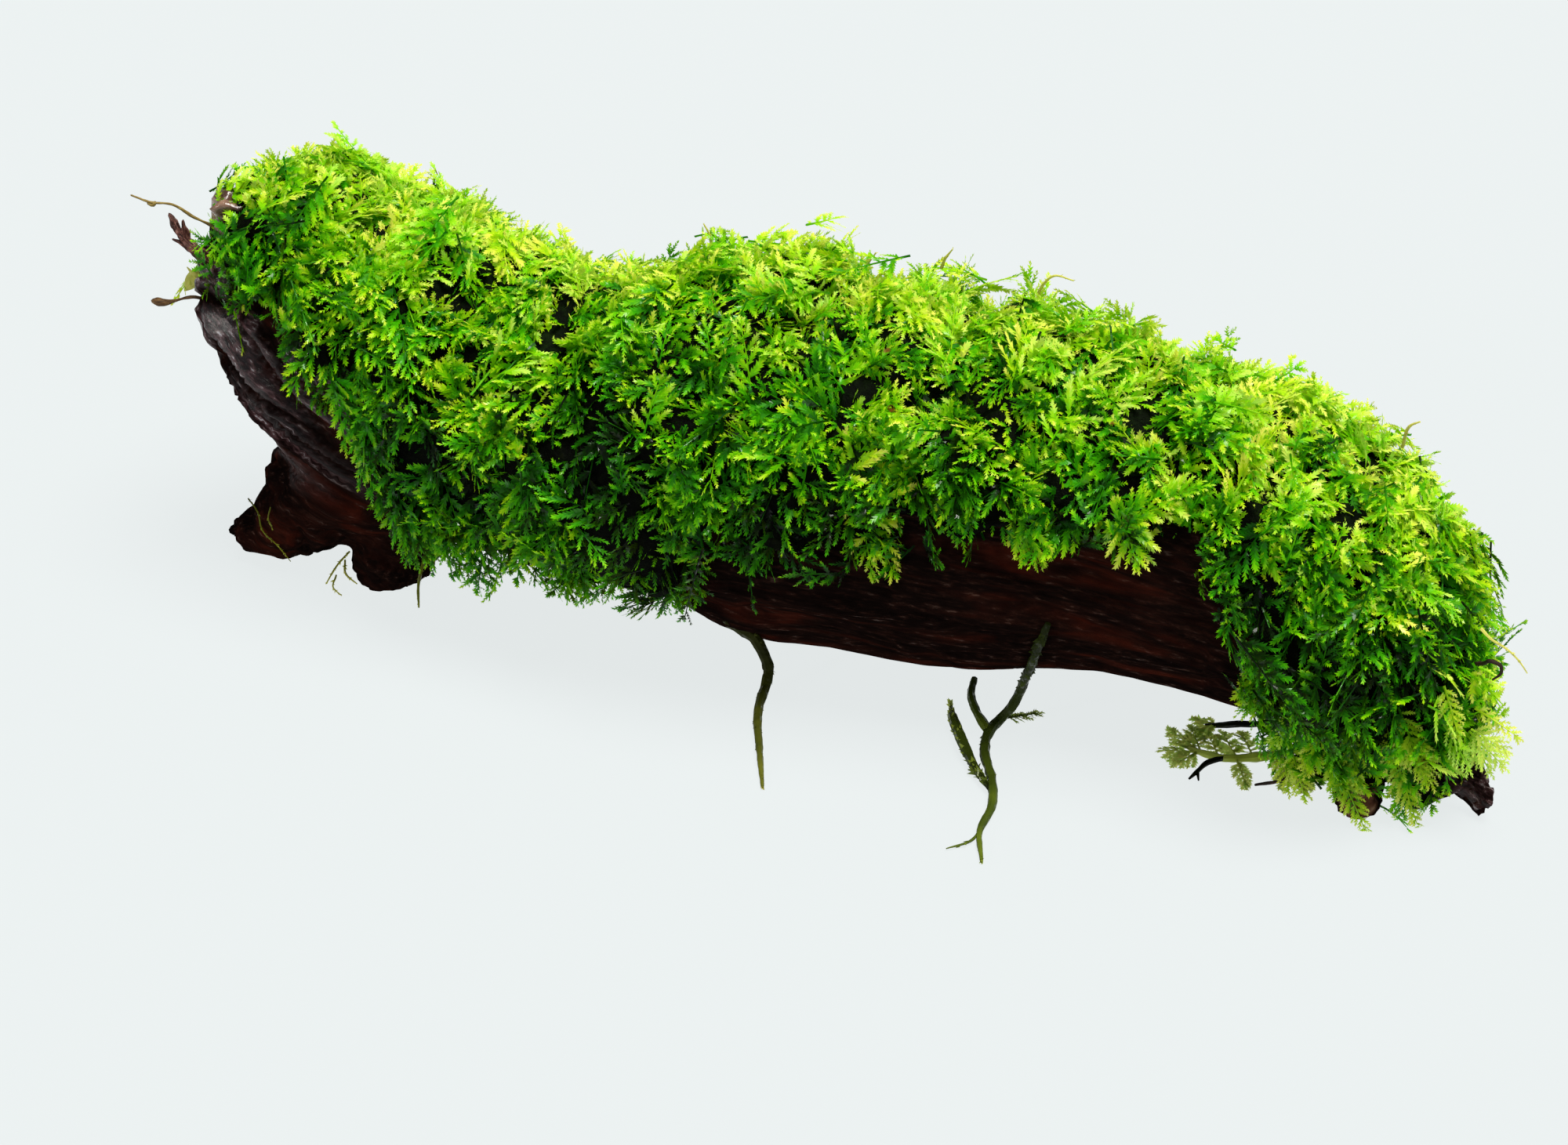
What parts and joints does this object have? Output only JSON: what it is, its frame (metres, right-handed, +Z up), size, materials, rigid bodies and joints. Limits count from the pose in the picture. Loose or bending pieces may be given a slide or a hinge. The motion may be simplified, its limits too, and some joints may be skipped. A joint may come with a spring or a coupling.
{
  "type": "moss on driftwood",
  "caption": "Aquarium moss grown as a thick feathery cushion over a short dark piece of wet driftwood, with loose shoots trailing at its foot.",
  "frame": {"origin": "middle of the object's box, on the surface that it lies on", "axes": "+X along the driftwood towards its right end, -Y towards the front where the loose shoots trail, +Z up"},
  "size_m": [0.1558, 0.0594, 0.048],
  "materials": {
    "wet_bogwood": "wet, near black with red-brown streaks",
    "living_moss": "wet translucent leaves, saturated green with bright yellow-green tips",
    "trailing_shoot": "damp dark olive-green leaves",
    "root_fibre": "dry pale-brown fibre",
    "loose_bark": "damp pinkish-brown bark"
  },
  "bodies": {
    "root": {"driftwood_trunk": "wet_bogwood", "driftwood_left_root": "wet_bogwood", "driftwood_right_root": "wet_bogwood", "moss_mat": "living_moss", "trailing_shoot_centre": "trailing_shoot", "trailing_shoot_forked": "trailing_shoot", "floor_sprig": "trailing_shoot", "root_fibre": "root_fibre", "bark_splinter": "loose_bark", "seed_stalk": "root_fibre"}
  },
  "joints": []
}
